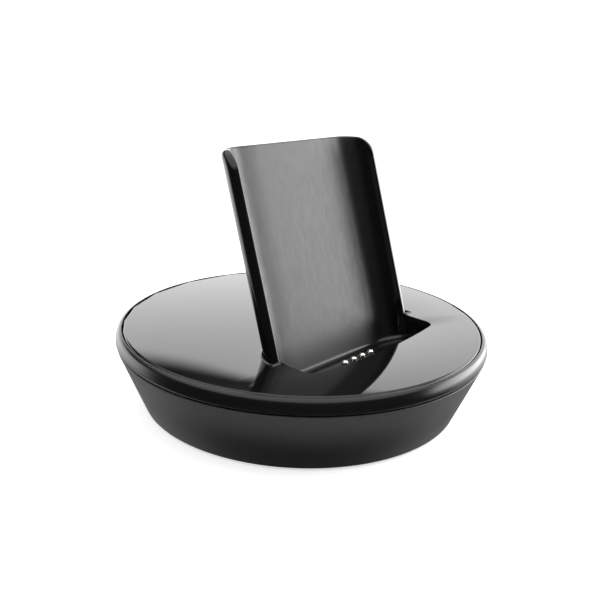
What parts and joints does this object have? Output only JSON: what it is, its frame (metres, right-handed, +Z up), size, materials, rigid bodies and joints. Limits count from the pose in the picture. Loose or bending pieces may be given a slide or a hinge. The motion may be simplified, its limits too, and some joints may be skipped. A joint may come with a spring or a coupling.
{
  "type": "hair clipper charging stand",
  "caption": "Round weighted charging stand for a hair clipper, with a leaning channel cradle, a shallow pocket and sprung contacts.",
  "frame": {"origin": "centre of the round base, on the surface that the feet rest on", "axes": "+Z up; the cradle opens towards -Y and leans back towards +Y; the inlet faces +Y"},
  "size_m": [0.09, 0.09, 0.0623],
  "materials": {
    "housing_plastic": "fine matt texture, black",
    "ring_satin": "satin black",
    "plate_gloss": "mirror gloss black with a polished edge",
    "adhesive_film": "translucent film",
    "inner_plastic": "as moulded",
    "cradle_gloss": "piano black, slightly softened reflections",
    "insulator": "as moulded",
    "circuit_board": "green solder mask",
    "screw_steel": "zinc plated",
    "cover_plastic": "fine matt texture, black",
    "ballast_steel": "laser-cut steel plate",
    "jack_plastic": "as moulded",
    "contact_metal": "bright nickel plate",
    "ferrite": "ferrite",
    "capacitor_can": "drawn can",
    "chip_resin": "moulded epoxy",
    "header_nylon": "natural nylon",
    "lead_insulation": "PVC insulation",
    "barrel_brass": "turned",
    "spring_steel": "drawn wire",
    "foot_rubber": "moulded rubber"
  },
  "bodies": {
    "stand": {"lower_housing": "housing_plastic", "trim_ring": "ring_satin", "top_plate": "plate_gloss", "plate_adhesive": "adhesive_film", "upper_deck": "inner_plastic", "cradle": "cradle_gloss", "contact_block": "insulator", "contact_board": "circuit_board", "block_screws": "screw_steel", "bottom_cover": "cover_plastic", "ballast_weight": "ballast_steel", "power_jack": "jack_plastic", "jack_centre_pin": "contact_metal", "main_board": "circuit_board", "power_inductor": "ferrite", "filter_capacitor": "capacitor_can", "regulator_chip": "chip_resin", "output_diode": "chip_resin", "wire_header": "header_nylon", "lead_wires": "lead_insulation", "board_screws": "screw_steel", "cover_screws": "screw_steel", "cradle_screws": "screw_steel", "ballast_screws": "screw_steel", "pin_barrel_1": "barrel_brass", "pin_spring_1": "spring_steel", "rubber_foot_1": "foot_rubber", "pin_barrel_2": "barrel_brass", "pin_spring_2": "spring_steel", "rubber_foot_2": "foot_rubber", "pin_barrel_3": "barrel_brass", "pin_spring_3": "spring_steel", "rubber_foot_3": "foot_rubber", "pin_barrel_4": "barrel_brass", "pin_spring_4": "spring_steel", "rubber_foot_4": "foot_rubber"},
    "contact_1": {"contact_pin_1": "contact_metal"},
    "contact_2": {"contact_pin_2": "contact_metal"},
    "contact_3": {"contact_pin_3": "contact_metal"},
    "contact_4": {"contact_pin_4": "contact_metal"}
  },
  "joints": [
    {"name": "contact_press_1", "type": "slide", "parent": "stand", "child": "contact_1", "axis": [0, -0.3156, -0.9489], "range_m": [0, 0.0013], "stiffness_N_per_m": 450, "springref_m": -0.0006, "deforming": ["pin_spring_1"]},
    {"name": "contact_press_2", "type": "slide", "parent": "stand", "child": "contact_2", "axis": [0, -0.3156, -0.9489], "range_m": [0, 0.0013], "stiffness_N_per_m": 450, "springref_m": -0.0006, "deforming": ["pin_spring_2"]},
    {"name": "contact_press_3", "type": "slide", "parent": "stand", "child": "contact_3", "axis": [0, -0.3156, -0.9489], "range_m": [0, 0.0013], "stiffness_N_per_m": 450, "springref_m": -0.0006, "deforming": ["pin_spring_3"]},
    {"name": "contact_press_4", "type": "slide", "parent": "stand", "child": "contact_4", "axis": [0, -0.3156, -0.9489], "range_m": [0, 0.0013], "stiffness_N_per_m": 450, "springref_m": -0.0006, "deforming": ["pin_spring_4"]}
  ]
}
